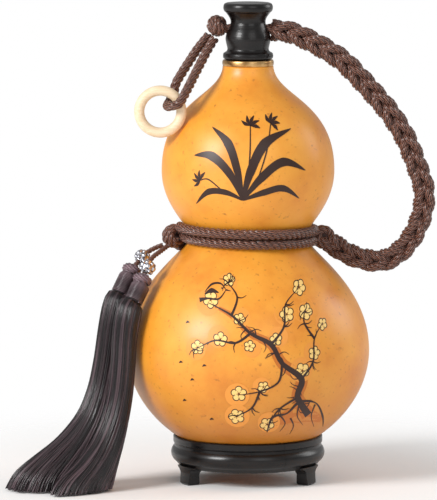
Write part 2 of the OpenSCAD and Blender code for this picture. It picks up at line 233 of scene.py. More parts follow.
def smooth(points, n):
    """Catmull-Rom curve through the points, n steps from each to the next."""
    p = np.array(points, float)
    out = []
    for i in range(len(p) - 1):
        a, b = p[max(i - 1, 0)], p[i]
        c, d = p[i + 1], p[min(i + 2, len(p) - 1)]
        for j in range(n):
            t = j / n
            out.append(0.5 * (2 * b + (c - a) * t + (2 * a - 5 * b + 4 * c - d) * t * t
                              + (3 * b - a - 3 * c + d) * t ** 3))
    out.append(p[-1])
    return np.array(out)


def even(points, step):
    """The same curve with points about a step apart."""
    along = distances(points)
    want = np.linspace(0, along[-1], max(3, int(along[-1] / step) + 1))
    return np.stack([np.interp(want, along, points[:, k]) for k in range(3)], axis=1)


def squares(points):
    """Two directions square to the curve at each point, carried along it without twisting."""
    t = headings(points)
    side = np.cross(t[0], [0, 0, 1] if abs(t[0][2]) < 0.9 else [0, 1, 0])
    sides = []
    for d in t:
        side = side - side.dot(d) * d
        side /= np.linalg.norm(side)
        sides.append(side.copy())
    sides = np.array(sides)
    return sides, np.cross(t, sides)


def turned_to(axis):
    """The turn that lays Z along an axis."""
    return np.array(Vector(axis).normalized().to_track_quat("Z", "Y").to_matrix())


def laid(points, d, lay):
    """The plies of a right-hand laid cord of diameter d, as lines round the given one."""
    side, other = squares(points)
    along = distances(points)
    out = []
    for k in range(PLIES):
        a = (2 * math.pi * (along / lay + k / PLIES))[:, None]
        out.append(points + PLY_OUT * d * (np.cos(a) * side + np.sin(a) * other))
    return out


def bezier(a, b, c, d):
    """A cubic curve from its ends and handles, without its last point."""
    t = np.linspace(0, 1, OUTLINE_STEPS, endpoint=False)[:, None]
    u = 1 - t
    a, b, c, d = (np.array(v, float) for v in (a, b, c, d))
    return u ** 3 * a + 3 * u * u * t * b + 3 * u * t * t * c + t ** 3 * d


# Radius and height from the underside to the rim, by the same curves as the model's
OUTLINE = np.concatenate([
    bezier((0, BASE_Z), (36, BASE_Z), (LOWER[0], 41), LOWER),
    bezier(LOWER, (LOWER[0], LOWER[1] + 36), (WAIST[0], WAIST[1] - 8), WAIST),
    bezier(WAIST, (WAIST[0], WAIST[1] + 6), (UPPER[0], UPPER[1] - 19), UPPER),
    bezier(UPPER, (UPPER[0], UPPER[1] + 38), (NECK[0] + 1, NECK[1] - 17), NECK),
    [NECK]])


def gourd_r(z):
    """Radius of the gourd at a height."""
    return np.interp(z, OUTLINE[:, 1], OUTLINE[:, 0])


def on_gourd(u, z, lift):
    """A place lifted off the gourd's skin: u millimetres round from the front, at height z."""
    r = gourd_r(z)
    slope = gourd_r(z + 0.5) - gourd_r(z - 0.5)
    n = math.hypot(1, slope)
    a = u / r
    r = r + lift / n
    return (r * math.sin(a), -r * math.cos(a), z - lift * slope / n)


# Nodes and finishes

# Widths in millimetres: clouds and flecks of the rind, grain under the lacquer and in the
# beech before it is squeezed to a sixth, and wear on a drawn line
CLOUD = 26.3158
FLECK = 2.38095
LACQUER_GRAIN = 11.1111
BEECH_GRAIN = 6.25
WEAR = 1.42857


def linear(colour):
    """An sRGB hex colour as linear RGBA. A colour that is linear already stays as it is."""
    if not isinstance(colour, str):
        return tuple(colour)
    out = []
    for i in (1, 3, 5):
        c = int(colour[i:i + 2], 16) / 255
        out.append(c / 12.92 if c <= 0.04045 else ((c + 0.055) / 1.055) ** 2.4)
    return (*out, 1.0)


def add(tree, kind, links=(), settings=(), **values):
    """One node with its settings, links and input values.

    A value is named for its input, with _ for a space, or i and the input's index. The
    setting named stops gives a colour ramp its places and colours.
    """
    node = tree.nodes.new(kind)
    for name, value in settings:
        if name != "stops":
            setattr(node, name, value)
            continue
        band = node.color_ramp
        while len(band.elements) < len(value):
            band.elements.new(0.5)
        for element, (spot, colour) in zip(band.elements, value):
            element.position = spot
            element.color = linear(colour)
    for name, value in values.items():
        key = int(name[1:]) if name[0] == "i" and name[1:].isdigit() else name.replace("_", " ")
        node.inputs[key].default_value = value
    for socket, source in links:
        tree.links.new(source, node.inputs[socket])
    return node


def material(name, base, roughness, **more):
    """A Principled material with its uniform values set on its own sockets."""
    finish = bpy.data.materials.new(name)
    finish.use_nodes = True
    shader = finish.node_tree.nodes["Principled BSDF"]
    shader.inputs["Base Color"].default_value = linear(base)
    shader.inputs["Roughness"].default_value = roughness
    for key, value in more.items():
        shader.inputs[key.replace("_", " ")].default_value = value
    return finish, finish.node_tree, shader


def feed(tree, shader, **sources):
    """Links what varies over a surface to the shader's inputs, named with _ for a space."""
    for key, source in sources.items():
        tree.links.new(source, shader.inputs[key.replace("_", " ")])


def per_metre(mm):
    """Scale of a pattern whose features are this many millimetres across."""
    return 1 / (mm * MM)


def made_once(make):
    """The finish of the same name as this function, made on its first use."""
    return lambda: bpy.data.materials.get(make.__name__) or make()


def mottled(name, dark, light, roughness, grain_mm, **more):
    """A finish with an even mottle of two tones, which is also slightly raised."""
    finish, tree, shader = material(name, light, roughness, **more)
    spot = add(tree, "ShaderNodeTexCoord").outputs["Object"]
    mottle = add(tree, "ShaderNodeTexNoise", [("Vector", spot)], Scale=per_metre(grain_mm),
                 Detail=6.0).outputs["Fac"]
    tone = add(tree, "ShaderNodeValToRGB", [("Fac", mottle)],
               [("stops", [(0.35, dark), (0.65, light)])])
    relief = add(tree, "ShaderNodeBump", [("Height", mottle)], Strength=0.15, Distance=0.2 * MM)
    feed(tree, shader, Base_Color=tone.outputs["Color"], Normal=relief.outputs["Normal"])
    return finish


@made_once
def lacquered_gourd_rind():
    """Dried gourd rind, dyed and lacquered: honey yellow clouds, brown flecks, a soft gloss, and
    painted shade towards the underside.
    """
    finish, tree, shader = material("lacquered_gourd_rind", "#ec9a30", 0.42, Coat_Weight=0.22,
                                    Coat_Roughness=0.3, Subsurface_Weight=0.03)
    mix = [("data_type", "RGBA")]
    spot = add(tree, "ShaderNodeTexCoord").outputs["Object"]
    clouds = add(tree, "ShaderNodeTexNoise", [("Vector", spot)], Scale=per_metre(CLOUD),
                 Detail=6.0, Roughness=0.6).outputs["Fac"]
    tone = add(tree, "ShaderNodeValToRGB", [("Fac", clouds)],
               [("stops", [(0.3, "#dc8420"), (0.5, "#ea982c"), (0.72, "#f0a438")])])
    flecks = add(tree, "ShaderNodeTexNoise", [("Vector", spot)], Scale=per_metre(FLECK),
                 Detail=3.0)
    shown = add(tree, "ShaderNodeValToRGB", [("Fac", flecks.outputs["Fac"])],
                [("stops", [(0.62, "#000000"), (0.78, "#ffffff")])])
    flecked = add(tree, "ShaderNodeMix", [("Factor", shown.outputs["Color"]),
                                          (6, tone.outputs["Color"])], mix, i7=linear("#b86f22"))
    # Painted shade: the colour darkens towards the underside, where less light falls
    height = add(tree, "ShaderNodeSeparateXYZ", [("Vector", spot)])
    low = add(tree, "ShaderNodeMapRange", [("Value", height.outputs["Z"])], From_Min=0.075,
              From_Max=0.015, To_Min=0.0, To_Max=0.55)
    painted_shade_below = add(tree, "ShaderNodeMix", [("Factor", low.outputs["Result"]), (6, flecked.outputs[2])],
               mix, i7=linear("#8c3c06"))
    rough = add(tree, "ShaderNodeMapRange", [("Value", clouds)], From_Min=0.3, From_Max=0.7,
                To_Min=0.38, To_Max=0.5)
    relief = add(tree, "ShaderNodeBump", [("Height", clouds)], Strength=0.12, Distance=0.6 * MM)
    feed(tree, shader, Base_Color=painted_shade_below.outputs[2], Roughness=rough.outputs["Result"],
         Normal=relief.outputs["Normal"])
    return finish


@made_once
def black_lacquered_wood():
    """Turned hardwood under black lacquer: near black and satin, with the grain barely there."""
    finish, tree, shader = material("black_lacquered_wood", "#080607", 0.3, Coat_Weight=0.12,
                                    Coat_Roughness=0.16, Specular_IOR_Level=0.35)
    spot = add(tree, "ShaderNodeTexCoord").outputs["Object"]
    stretch = add(tree, "ShaderNodeMapping", [("Vector", spot)], Scale=(1.0, 1.0, 6.0))
    grain = add(tree, "ShaderNodeTexNoise", [("Vector", stretch.outputs["Vector"])],
                Scale=per_metre(LACQUER_GRAIN), Detail=8.0, Roughness=0.65).outputs["Fac"]
    tone = add(tree, "ShaderNodeValToRGB", [("Fac", grain)],
               [("stops", [(0.35, "#050404"), (0.7, "#130d0c")])])
    rough = add(tree, "ShaderNodeMapRange", [("Value", grain)], From_Min=0.3, From_Max=0.7,
                To_Min=0.24, To_Max=0.4)
    relief = add(tree, "ShaderNodeBump", [("Height", grain)], Strength=0.15, Distance=0.3 * MM)
    feed(tree, shader, Base_Color=tone.outputs["Color"], Roughness=rough.outputs["Result"],
         Normal=relief.outputs["Normal"])
    return finish


@made_once
def sanded_beech():
    """Bare beech, turned and sanded: cream, with faint short flecks along the grain."""
    finish, tree, shader = material("sanded_beech", "#ecd2ae", 0.48)
    spot = add(tree, "ShaderNodeTexCoord").outputs["Object"]
    stretch = add(tree, "ShaderNodeMapping", [("Vector", spot)], Scale=(1.0, 6.0, 6.0))
    grain = add(tree, "ShaderNodeTexNoise", [("Vector", stretch.outputs["Vector"])],
                Scale=per_metre(BEECH_GRAIN), Detail=6.0).outputs["Fac"]
    tone = add(tree, "ShaderNodeValToRGB", [("Fac", grain)],
               [("stops", [(0.3, "#e3c8a2"), (0.7, "#efd9ba")])])
    relief = add(tree, "ShaderNodeBump", [("Height", grain)], Strength=0.06, Distance=0.1 * MM)
    feed(tree, shader, Base_Color=tone.outputs["Color"], Normal=relief.outputs["Normal"])
    return finish


@made_once
def raw_birch_dowel():
    """Unfinished birch rod: dull and pale brown."""
    return mottled("raw_birch_dowel", "#b08a5c", "#d6b689", 0.6, grain_mm=3.3333)


@made_once
def natural_cork():
    """Cut cork: tan with dark pores, and quite matt."""
    return mottled("natural_cork", "#7d5834", "#c99c6b", 0.75, grain_mm=2)


@made_once
def turned_brass():
    """Turned brass, slightly dulled by handling: warm, with soft reflections."""
    return mottled("turned_brass", "#a87a45", "#d9b27a", 0.3, grain_mm=4.5455, Metallic=1.0)


@made_once
def antiqued_silver_plate():
    """Cast metal plated silver and antiqued: bright, with grey left in patches."""
    return mottled("antiqued_silver_plate", "#8d8d94", "#e4e4ea", 0.22, grain_mm=1.1111,
                   Metallic=1.0)


@made_once
def shaded_cord_core():
    """Heart of a tied knot, seen only as a dark gap between turns of cord: its dark colour is
    painted shade.
    """
    return mottled("shaded_cord_core", "#1c0a08", "#3a1a15", 0.7, grain_mm=2.5)


@made_once
def shaded_tassel_core():
    """Heart of a tassel, seen only as a dark gap between threads: its dark colour is painted
    shade.
    """
    return mottled("shaded_tassel_core", "#0d0709", "#1e1316", 0.6, grain_mm=3.3333)


def rayon(name, dark, light, roughness, fibres, turn, sheen):
    """Rayon yarn: silky, with fibres in streaks round each strand, drawn coarser than real; the
    streaks are also painted highlight and painted shade.

    turn is how fast the fibres wind round a strand, in radians a metre.
    """
    finish, tree, shader = material(name, light, roughness, Sheen_Weight=sheen,
                                    Sheen_Roughness=0.35)
    along, around, tone = (
        add(tree, "ShaderNodeAttribute", settings=[("attribute_name", mark)]).outputs["Fac"]
        for mark in ("along", "around", "tone"))
    scaled = [("operation", "MULTIPLY_ADD")]
    wound = add(tree, "ShaderNodeMath", [(0, along)], [("operation", "MULTIPLY")], i1=turn)
    swept = add(tree, "ShaderNodeMath", [(0, around), (2, wound.outputs[0])], scaled,
                i1=2 * math.pi * fibres)
    wave = add(tree, "ShaderNodeMath", [(0, swept.outputs[0])], [("operation", "SINE")]).outputs[0]
    # Light and dark fibre streaks, which also stand in for painted highlight and painted shade
    fibre_streak_and_sheen = add(tree, "ShaderNodeMath", [(0, wave)], scaled, i1=0.28, i2=0.36)
    mixed = add(tree, "ShaderNodeMath", [(0, tone), (2, fibre_streak_and_sheen.outputs[0])], scaled, i1=0.4)
    colour = add(tree, "ShaderNodeValToRGB", [("Fac", mixed.outputs[0])],
                 [("stops", [(0.34, dark), (1.0, light)])])
    relief = add(tree, "ShaderNodeBump", [("Height", wave)], Strength=0.35, Distance=0.2 * MM)
    feed(tree, shader, Base_Color=colour.outputs["Color"], Normal=relief.outputs["Normal"])
    return finish


@made_once
def twisted_rayon_cord():
    """Reddish brown twisted cord, painted bright on top of each ply as a highlight and dark
    between them as shade.
    """
    c = colours()
    return rayon("twisted_rayon_cord", c.cord_dark, c.cord_light, 0.3, 7, 2600.0, 0.15)


@made_once
def rayon_tassel_thread():
    """Dark purplish thread, each strand of its own tone, with a silvery shine, partly the shader's
    sheen and partly a painted highlight, and painted shade round each thread.
    """
    c = colours()
    return rayon("rayon_tassel_thread", c.thread_dark, c.thread_light, 0.27, 1, 0.0, 0.1)


def drawn_on_rind(name, colour):
    """A scorched or painted line: one colour, worn very slightly uneven."""
    finish, tree, shader = material(name, colour, 0.42)
    spot = add(tree, "ShaderNodeTexCoord").outputs["Object"]
    wear = add(tree, "ShaderNodeTexNoise", [("Vector", spot)], Scale=per_metre(WEAR), Detail=2.0)
    relief = add(tree, "ShaderNodeBump", [("Height", wear.outputs["Fac"])], Strength=0.1,
                 Distance=0.1 * MM)
    feed(tree, shader, Normal=relief.outputs["Normal"])
    return finish


def white_paper():
    """Matt white paper, which takes the shadow near the bottle and fades out of view beyond."""
    finish, tree, shader = material("white_paper", "#fbfaf9", 0.95, Specular_IOR_Level=0.1)
    spot = add(tree, "ShaderNodeTexCoord").outputs["Object"]
    far = add(tree, "ShaderNodeVectorMath", [(0, spot)], [("operation", "LENGTH")])
    gone = add(tree, "ShaderNodeMapRange", [("Value", far.outputs["Value"])],
               [("interpolation_type", "SMOOTHSTEP")], From_Min=FADE_FROM, From_Max=FADE_TO,
               To_Min=0.0, To_Max=1.0)
    seen = add(tree, "ShaderNodeLightPath").outputs["Is Camera Ray"]
    clear = add(tree, "ShaderNodeMath", [(0, gone.outputs["Result"]), (1, seen)],
                [("operation", "MULTIPLY")])
    nothing = add(tree, "ShaderNodeBsdfTransparent")
    both = add(tree, "ShaderNodeMixShader",
               [(0, clear.outputs[0]), (1, shader.outputs[0]), (2, nothing.outputs[0])])
    tree.links.new(both.outputs[0], tree.nodes["Material Output"].inputs["Surface"])
    return finish


# Meshes

def new_piece(name, verts, faces, mat):
    """A smooth-shaded piece from places in millimetres."""
    mesh = bpy.data.meshes.new(name)
    mesh.from_pydata([tuple(float(c) * MM for c in v) for v in verts], [], faces)
    mesh.materials.append(mat)
    mesh.polygons.foreach_set("use_smooth", [True] * len(mesh.polygons))
    mesh.update()
    obj = bpy.data.objects.new(name, mesh)
    bpy.context.scene.collection.objects.link(obj)
    return obj


def grown(name, profile, segments, mat):
    """A closed form of revolution, very slightly out of round, whose ends lie on the axis."""
    verts, rings = [], []
    for r, z in profile:
        if r < 1e-6:
            rings.append([len(verts)] * segments)
            verts.append((0, 0, z))
            continue
        rings.append(list(range(len(verts), len(verts) + segments)))
        for k in range(segments):
            a = 2 * math.pi * k / segments
            f = 1 + UNEVENNESS * (math.sin(2 * a + z / 31) + 0.6 * math.sin(3 * a - z / 17))
            verts.append((r * f * math.cos(a), r * f * math.sin(a), z))
    faces = []
    for low, high in zip(rings, rings[1:]):
        for k in range(segments):
            j = (k + 1) % segments
            corners = [low[k], low[j], high[j], high[k]]
            face = [v for i, v in enumerate(corners) if v not in corners[:i]]
            if len(face) > 2:
                faces.append(face)
    return new_piece(name, verts, faces, mat)


def loft(name, rings, mat):
    """A closed skin over rings of points."""
    n = len(rings[0])
    last = (len(rings) - 1) * n
    faces = []
    for low in range(0, last, n):
        for k in range(n):
            a, b = low + k, low + (k + 1) % n
            faces.append([a, b, b + n, a + n])
    faces.append([n - 1 - k for k in range(n)])
    faces.append([last + k for k in range(n)])
    return new_piece(name, [p for ring in rings for p in ring], faces, mat)


def sweep_tree():
    """Node group that gives every edge path a round section, and marks it for the fibres."""
    tree = bpy.data.node_groups.new("Cord along paths", "GeometryNodeTree")
    for name, kind in (("Geometry", "Geometry"), ("Radius", "Float"), ("Sides", "Int"),
                       ("Finish", "Material")):
        tree.interface.new_socket(name, in_out="INPUT", socket_type="NodeSocket" + kind)
    tree.interface.new_socket("Geometry", in_out="OUTPUT", socket_type="NodeSocketGeometry")
    entry = add(tree, "NodeGroupInput").outputs
    number = [("data_type", "FLOAT"), ("domain", "POINT")]
    line = add(tree, "GeometryNodeMeshToCurve", [("Mesh", entry["Geometry"])])
    spot = add(tree, "GeometryNodeSplineParameter").outputs
    marked = add(tree, "GeometryNodeStoreNamedAttribute",
                 [("Geometry", line.outputs[0]), ("Value", spot["Length"])], number, Name="along")
    circle = add(tree, "GeometryNodeCurvePrimitiveCircle",
                 [("Radius", entry["Radius"]), ("Resolution", entry["Sides"])])
    ring = add(tree, "GeometryNodeStoreNamedAttribute",
               [("Geometry", circle.outputs[0]), ("Value", spot["Factor"])], number, Name="around")
    tube = add(tree, "GeometryNodeCurveToMesh",
               [("Curve", marked.outputs[0]), ("Profile Curve", ring.outputs[0])], Fill_Caps=True)
    soft = add(tree, "GeometryNodeSetShadeSmooth", [("Geometry", tube.outputs[0])])
    real = add(tree, "GeometryNodeRealizeInstances", [("Geometry", soft.outputs[0])])
    coat = add(tree, "GeometryNodeSetMaterial",
               [("Geometry", real.outputs[0]), ("Material", entry["Finish"])])
    add(tree, "NodeGroupOutput", [(0, coat.outputs[0])])
    return tree


def corded(name, lines, radius, sides, mat, tones=None):
    """Round strands along lines in millimetres, from the node group into one plain mesh."""
    verts, edges, tone = [], [], []
    for i, line in enumerate(lines):
        start = len(verts)
        verts += [tuple(p * MM) for p in line]
        edges += [(start + k, start + k + 1) for k in range(len(line) - 1)]
        tone += [tones[i] if tones else 0.5] * len(line)
    mesh = bpy.data.meshes.new(name + "_paths")
    mesh.from_pydata(verts, edges, [])
    mesh.attributes.new("tone", "FLOAT", "POINT").data.foreach_set("value", tone)
    obj = bpy.data.objects.new(name, mesh)
    bpy.context.scene.collection.objects.link(obj)
    tree = bpy.data.node_groups.get("Cord along paths") or sweep_tree()
    sweep = obj.modifiers.new("sweep", "NODES")
    sweep.node_group = tree
    values = {"Radius": radius * MM, "Sides": sides, "Finish": mat}
    for item in tree.interface.items_tree:
        if item.in_out == "INPUT" and item.name in values:
            sweep[item.identifier] = values[item.name]
    bpy.context.view_layer.update()
    done = obj.evaluated_get(bpy.context.evaluated_depsgraph_get())
    plain = bpy.data.meshes.new_from_object(done)
    obj.modifiers.clear()
    obj.data = plain
    return obj


def join(name, pieces):
    """Several pieces as one, with their places kept."""
    bpy.ops.object.select_all(action="DESELECT")
    for p in pieces:
        p.select_set(True)
    bpy.context.view_layer.objects.active = pieces[0]
    bpy.ops.object.join()
    pieces[0].name = name
    return pieces[0]


def rope(name, route, d, mat, steps=8, lay=CORD_LAY, spacing=0.7):
    """A laid cord along a route, and its centreline."""
    line = even(smooth(route, steps), spacing)
    return corded(name, laid(line, d, lay), PLY_RADIUS * d, 10, mat), line


def knot(name, centre, axis, width, height, turns, d, mat, core):
    """A tied knot: cord of diameter d wound over a bulge of that half width and half height."""
    centre = np.array(centre)
    up = np.array(axis, float) / np.linalg.norm(axis)
    side = np.cross(up, [0.3, 0.9, 0.2])
    side /= np.linalg.norm(side)
    other = np.cross(up, side)
    t = np.linspace(-1, 1, 90 * turns)
    # The winding stops a little short of both poles
    lean = np.arcsin(0.86 * t)
    a = math.pi * turns * t
    ring = np.outer(np.cos(a), side) + np.outer(np.sin(a), other)
    wound = (centre + ring * ((width - d / 2) * np.cos(lean))[:, None]
             + np.outer((height - d / 2) * np.sin(lean), up))
    outer = corded(name, laid(even(wound, 0.6), d, KNOT_LAY), PLY_RADIUS * d, PLY_SIDES, mat)
    turn = turned_to(axis)
    rings = []
    for p in math.pi * np.arange(1, 12) / 12:
        r, h = (width - 0.55 * d) * math.sin(p), -(height - 0.55 * d) * math.cos(p)
        rings.append([centre + turn @ (r * math.cos(b), r * math.sin(b), h)
                      for b in np.linspace(0, 2 * math.pi, 24, False)])
    return join(name, [outer, loft(name + "_core", rings, core)])


def finish_node(name, mat):
    """Gives a node of the model its finish."""
    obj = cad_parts[name]
    if not obj.material_slots:
        obj.data.materials.append(mat)
    for held in obj.material_slots:
        held.link = "OBJECT"
        held.material = mat


def place(piece, body, slot, *nodes):
    """Lets a piece ride on its body, and hides the nodes that it stands for. The slot is not used.
    """
    if nodes:
        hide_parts(*nodes)
    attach(piece, body)
    return piece


# Settings

class GourdBottleSizes(bpy.types.PropertyGroup):
    """Sizes that a user would change"""
    lashing: bpy.props.FloatProperty(
        name="Lashing", description="Diameter of the cord round the waist",
        default=5.2 * MM, min=MM, unit="LENGTH", precision=4)
    braid_strand: bpy.props.FloatProperty(
        name="Braid strand", description="Diameter of one strand of the strap",
        default=4.9 * MM, min=MM, unit="LENGTH", precision=4)
    lead: bpy.props.FloatProperty(
        name="Lead", description="Diameter of the thin cord above a tassel",
        default=2.6 * MM, min=MM, unit="LENGTH", precision=4)
    thread: bpy.props.FloatProperty(
        name="Thread", description="Radius of a thread of a tassel's skirt",
        default=0.34 * MM, min=0.1 * MM, unit="LENGTH", precision=5)
    threads: bpy.props.IntProperty(
        name="Threads", description="Threads shown in one tassel's skirt", default=520, min=50)
    segments: bpy.props.IntProperty(
        name="Segments", description="Faces round the gourd", default=192, min=24)


class GourdBottleColours(bpy.types.PropertyGroup):
    """Colours that a user would change"""
    # The cord colours are also painted light: shade between the plies at the dark end, a highlight
    # on top of them at the light end
    cord_dark: bpy.props.FloatVectorProperty(
        name="Cord shade", description="Darkest colour of the cords",
        default=linear("#170705"), size=4, min=0, max=1, subtype="COLOR")
    cord_light: bpy.props.FloatVectorProperty(
        name="Cord light", description="Lightest colour of the cords",
        default=linear("#9c6a58"), size=4, min=0, max=1, subtype="COLOR")
    # The thread colours are also painted light: shade at the dark end, a silvery highlight at the
    # light end
    thread_dark: bpy.props.FloatVectorProperty(
        name="Thread shade", description="Darkest colour of the tassels",
        default=linear("#10080b"), size=4, min=0, max=1, subtype="COLOR")
    thread_light: bpy.props.FloatVectorProperty(
        name="Thread light", description="Lightest colour of the tassels",
        default=linear("#8c727a"), size=4, min=0, max=1, subtype="COLOR")
    ink: bpy.props.FloatVectorProperty(
        name="Drawn line", description="Colour of the lines drawn on the gourd",
        default=linear("#2c1206"), size=4, min=0, max=1, subtype="COLOR")


def sizes():
    """The sizes as set in the scene."""
    return bpy.context.scene.gourd_bottle_sizes


def colours():
    """The colours as set in the scene."""
    return bpy.context.scene.gourd_bottle_colours


# Artwork: an orchid above and a flowering plum branch below, in millimetres round the gourd
# from its front, and up

ORCHID_FOOT = (-3, 157)
ORCHID_LEAVES = [
    ([ORCHID_FOOT, (-10, 171), (-20, 180), (-31, 180)], [0.9, 4.2, 5.0, 0.3]),
    ([ORCHID_FOOT, (-6, 173), (-11, 187), (-20, 195)], [0.9, 4.0, 4.8, 0.3]),
    ([ORCHID_FOOT, (1, 172), (9, 187), (24, 194)], [0.9, 4.6, 5.4, 0.3]),
    ([ORCHID_FOOT, (7, 169), (19, 177), (33, 172)], [0.9, 4.4, 4.8, 0.3]),
    ([ORCHID_FOOT, (8, 161), (19, 163), (29, 157)], [0.9, 3.4, 3.6, 0.3]),
    ([ORCHID_FOOT, (-12, 161), (-22, 161), (-30, 154)], [0.9, 3.0, 3.4, 0.3])]
# Stalk, and the flower's place and turn in radians
ORCHID_FLOWERS = [
    ([(-0.6, 165), (0.8, 182), (1, 196)], 1.2),
    ([(3.8, 165), (9.6, 182.5), (12, 197)], 0.7),
    ([(-11.8, 160), (-21.6, 167.5), (-27, 167)], 2.4)]
TRUNK = [(34, 42), (27, 53), (29, 63), (18, 72), (12, 82), (1, 88), (-9, 97), (-22, 103)]
TWIGS = [
    [(29, 63), (36, 72), (37, 84), (43, 92)], [(18, 72), (16, 62), (6, 57), (-6, 55)],
    [(12, 82), (19, 91), (20, 102), (27, 109)], [(1, 88), (-7, 83), (-18, 84), (-29, 79)],
    [(-9, 97), (-6, 106), (-11, 113)], [(37, 84), (31, 92), (31, 98)],
    [(6, 57), (2, 48), (-6, 43)], [(27, 53), (17, 47), (11, 39)]]
BLOSSOMS = [
    (43, 92), (36, 77), (27, 109), (20, 98), (16, 86), (-11, 113), (-22, 103), (-4, 96),
    (-29, 79), (-16, 86), (-6, 55), (7, 60), (-6, 43), (11, 39), (31, 99), (29, 68), (2, 80)]
PETALS = 5
ROCK = [(10, 33), (13, 42), (21, 44), (28, 50), (38, 49), (44, 41), (47, 33)]
ROCK_SHADE = [(12, 38), (28, 43), (44, 38)]
CRACKS = [
    [(17, 43), (20, 38), (17, 33)], [(28, 49), (27, 42), (31, 36)],
    [(38, 48), (36, 41), (39, 34)], [(23, 41), (25, 36), (23, 31)]]
# Back, belly with tail, wing and beak of a small bird, with their widths and steps
BIRD = [
    ([(-24, 108), (-20, 112), (-15, 112.5), (-12, 109.5)], [0.3, 1.0, 0.9, 0.3], 8),
    ([(-27, 104), (-22, 105), (-16, 105), (-12, 109.5)], [2.4, 0.9, 0.9, 0.3], 8),
    ([(-24, 107), (-20, 109), (-16, 108)], [0.5, 2.4, 0.3], 8),
    ([(-12, 109.5), (-9.4, 109)], [0.9, 0.2], 4)]
BIRD_EYE = (-14.2, 110.3, 0.45)
LOOSE_PETALS = [(-34, 92), (-38, 71), (-31, 62), (-24, 70), (-36, 50), (-20, 40)]
ARTWORK_SEED = 7


def towards(u, z, reach, angle):
    """A place at a reach and angle from another one."""
    return u + reach * math.cos(angle), z + reach * math.sin(angle)


def stroke(points, widths, steps=7):
    """A brush line with its widths along it, as rows of three places across."""
    line = smooth([(p[0], p[1], 0) for p in points], steps)
    w = np.interp(np.linspace(0, 1, len(line)), np.linspace(0, 1, len(widths)), widths)
    t = headings(line)
    n = np.stack([-t[:, 1], t[:, 0]], axis=1)
    return [[line[i, :2] + s * w[i] / 2 * n[i] for s in (-1, 0, 1)] for i in range(len(line))]


def disc(u, z, r, sides=20):
    """A round mark, as rows of three places out from its centre."""
    rim = [np.array(towards(u, z, r, 2 * math.pi * k / sides)) for k in range(sides + 1)]
    return [[np.array([u, z]), (p + (u, z)) / 2, p] for p in rim]


def drawn(name, strips, mat, lift):
    """Strips laid over the gourd, lifted off its skin, as one piece that faces outwards."""
    verts, faces = [], []
    for strip in strips:
        base = len(verts)
        for row in strip:
            verts += [on_gourd(p[0], p[1], lift) for p in row]
        for a in range(base, len(verts) - 3, 3):
            faces += [[a, a + 1, a + 4, a + 3], [a + 1, a + 2, a + 5, a + 4]]
    piece = new_piece(name, verts, faces, mat)
    for p in piece.data.polygons:
        if p.normal.dot(p.center - Vector((0, 0, p.center.z))) < 0:
            p.flip()
    piece.data.update()
    place(piece, "gourd", "gourd_skin")


def orchid():
    """Bold leaves that arch from one foot, and three small flowers on stalks."""
    lines = [stroke(points, widths, 10) for points, widths in ORCHID_LEAVES]
    for stalk, turn in ORCHID_FLOWERS:
        lines.append(stroke(stalk, [0.5, 0.8, 0.5]))
        u, z = stalk[-1]
        for k in range(PETALS):
            a = turn + (k - 2) * 0.72
            lines.append(stroke([(u, z), towards(u, z, 2.9, a + 0.16), towards(u, z, 5.4, a)],
                                [0.3, 1.9, 0.2]))
    return lines


def plum_branch(rng):
    """Trunk and twigs with short side shoots."""
    lines = [stroke(TRUNK, [4.6, 3.4, 3.6, 2.4, 2.6, 1.6, 1.2, 0.3], 10)]
    for k in range(26):
        a, b = TRUNK[k % 6], TRUNK[k % 6 + 1]
        t = rng.random()
        u, z = a[0] + (b[0] - a[0]) * t, a[1] + (b[1] - a[1]) * t
        way = rng.uniform(0, 2 * math.pi)
        bend = way + rng.uniform(-0.5, 0.5)
        lines.append(stroke([(u, z), towards(u, z, 4, way), towards(u, z, 6.5, bend)],
                            [0.7, 0.45, 0.15], 5))
    for twig in TWIGS:
        lines.append(stroke(twig, [1.4, 1.1, 0.8, 0.25], 8))
        for _ in range(6):
            u, z = twig[rng.randrange(1, len(twig))]
            a = rng.uniform(0, 2 * math.pi)
            lines.append(stroke([(u, z), towards(u, z, 2.6, a), towards(u, z, 5, a + 0.3)],
                                [0.8, 0.5, 0.2], 4))
    return lines


def blossom(u, z, r, turn):
    """Petals as filled rounds, and their outlines with the stamens as lines."""
    fill, lines = [], []
    petal = 0.46 * r
    for k in range(PETALS):
        a = turn + 2 * math.pi * k / PETALS
        x, y = towards(u, z, 0.62 * r, a)
        fill.append(disc(x, y, petal, 16))
        rim = [towards(x, y, petal, a + b) for b in np.linspace(-2.1, 2.1, 9)]
        lines.append(stroke(rim, [0.15, 0.42, 0.5, 0.42, 0.15], 3))
        lines.append(stroke([(u, z), towards(u, z, 0.4 * r, a + 0.4)], [0.2, 0.2], 3))
    lines.append(disc(u, z, 0.1 * r, 10))
    return fill, lines


